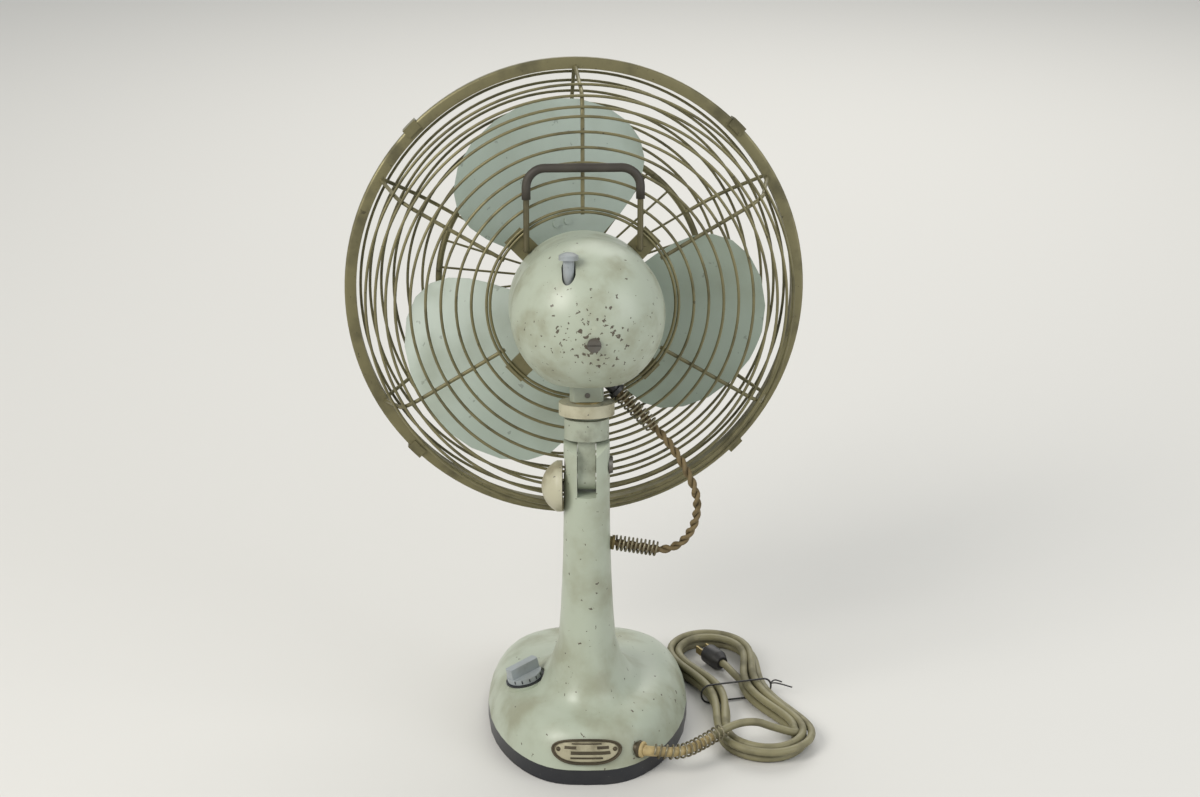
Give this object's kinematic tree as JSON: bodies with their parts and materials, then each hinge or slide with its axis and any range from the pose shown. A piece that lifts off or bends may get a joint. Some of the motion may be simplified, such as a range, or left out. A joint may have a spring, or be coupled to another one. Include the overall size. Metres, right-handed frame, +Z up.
{
  "type": "electric fan",
  "caption": "Mid-century desk fan with a pale green cast stand, tilting and swinging head, round wire guard, sprung cloth lead and a bundled mains cord.",
  "frame": {"origin": "centre of the base outline, on the table", "axes": "+X to the right seen from behind, +Y the way the air blows, +Z up"},
  "size_m": [0.3606, 0.2705, 0.497],
  "materials": {
    "pale_green_paint": "aged gloss enamel with chips and grime",
    "blade_paint": "satin enamel",
    "olive_wire": "aged plated wire, dull",
    "cream_cast": "aged cream enamel",
    "dark_steel": "plain machined steel",
    "black_enamel": "black enamel",
    "black_plastic": "moulded",
    "brass_plate": "dull brass",
    "grey_plastic": "moulded grey",
    "black_rubber": "sleeve",
    "copper_winding": "enamelled copper wire",
    "cloth_cord": "braided cover, worn",
    "mains_cover": "aged vinyl"
  },
  "bodies": {
    "stand": {"stand_casting": "pale_green_paint", "plinth": "black_enamel", "bottom_plate": "dark_steel", "bottom_screws": "dark_steel", "speed_switch": "black_plastic", "dial_plate": "black_enamel", "nameplate": "brass_plate", "cord_grommet": "brass_plate", "mains_spring": "dark_steel", "mains_cord": "mains_cover", "cord_hank": "mains_cover", "cord_tie": "black_plastic", "plug_body": "black_plastic", "plug_pins": "brass_plate", "lead_bush": "brass_plate", "lower_lead_spring": "dark_steel", "motor_lead": "cloth_cord", "tilt_bolt": "dark_steel", "tilt_nut": "dark_steel"},
    "neck": {"neck_yoke": "cream_cast", "swivel_disc": "cream_cast", "swivel_pin": "dark_steel", "thrust_washer": "brass_plate"},
    "head": {"motor_frame": "pale_green_paint", "end_shield": "dark_steel", "rear_dome": "pale_green_paint", "dome_screw": "dark_steel", "boss_screw": "dark_steel", "stator_core": "dark_steel", "stator_coils": "copper_winding", "front_bearing": "brass_plate", "rear_bearing": "brass_plate", "gear_frame": "dark_steel", "guard_arms": "olive_wire", "rear_guard_rings": "olive_wire", "rear_guard_spokes": "olive_wire", "guard_rim": "olive_wire", "rim_clips": "olive_wire", "front_guard_rings": "olive_wire", "front_guard_spokes": "olive_wire", "front_badge": "cream_cast", "carry_handle": "brass_plate", "handle_sleeve": "black_rubber", "lead_gland": "black_plastic", "upper_lead_spring": "dark_steel"},
    "rotor": {"motor_shaft": "dark_steel", "rotor_core": "dark_steel", "fan_hub": "dark_steel", "fan_blades": "blade_paint", "blade_rivets": "dark_steel", "hub_nut": "dark_steel"},
    "speed_knob": {"speed_knob": "grey_plastic"},
    "clamp": {"clamp_knob": "cream_cast", "clamp_screw": "dark_steel"},
    "worm_wheel": {"worm_wheel": "brass_plate"},
    "crank": {"crank_gear": "dark_steel"},
    "clutch": {"clutch_knob": "grey_plastic"}
  },
  "joints": [
    {"name": "head_tilt", "type": "hinge", "parent": "stand", "child": "neck", "pos_m": [0, -0.032, 0.223], "axis": [1, 0, 0], "range_deg": [-8, 26], "deforming": ["motor_lead"]},
    {"name": "head_swing", "type": "hinge", "parent": "neck", "child": "head", "pos_m": [0, -0.02504, 0.27251], "axis": [0, 0.1392, 0.9903], "range_deg": [-44.8, 35.2], "deforming": ["motor_lead"]},
    {"name": "blade_spin", "type": "hinge", "parent": "head", "child": "rotor", "pos_m": [-0.00854, 0.08452, 0.32174], "axis": [-0.0837, 0.9868, -0.1387], "continuous": true},
    {"name": "worm_wheel_turn", "type": "hinge", "parent": "head", "child": "worm_wheel", "pos_m": [-0.01226, -0.06684, 0.34302], "axis": [0, 0.1392, 0.9903], "continuous": true},
    {"name": "crank_turn", "type": "hinge", "parent": "head", "child": "crank", "pos_m": [0.00297, -0.05117, 0.34081], "axis": [0, 0.1392, 0.9903], "continuous": true},
    {"name": "clutch_pull", "type": "slide", "parent": "head", "child": "clutch", "axis": [0, 0.1392, 0.9903], "range_m": [0, 0.005]},
    {"name": "speed_turn", "type": "hinge", "parent": "stand", "child": "speed_knob", "pos_m": [-0.04705, -0.02617, 0.04319], "axis": [-0.225, 0, 0.9744], "range_deg": [0, 135]},
    {"name": "clamp_turn", "type": "hinge", "parent": "stand", "child": "clamp", "pos_m": [-0.018, -0.032, 0.206], "axis": [-1, 0, 0], "range_deg": [0, 270]}
  ],
  "couplings": [
    {"joint": "worm_wheel_turn", "follows": "blade_spin", "ratio": 0.045455},
    {"joint": "crank_turn", "follows": "blade_spin", "ratio": -0.018809}
  ]
}
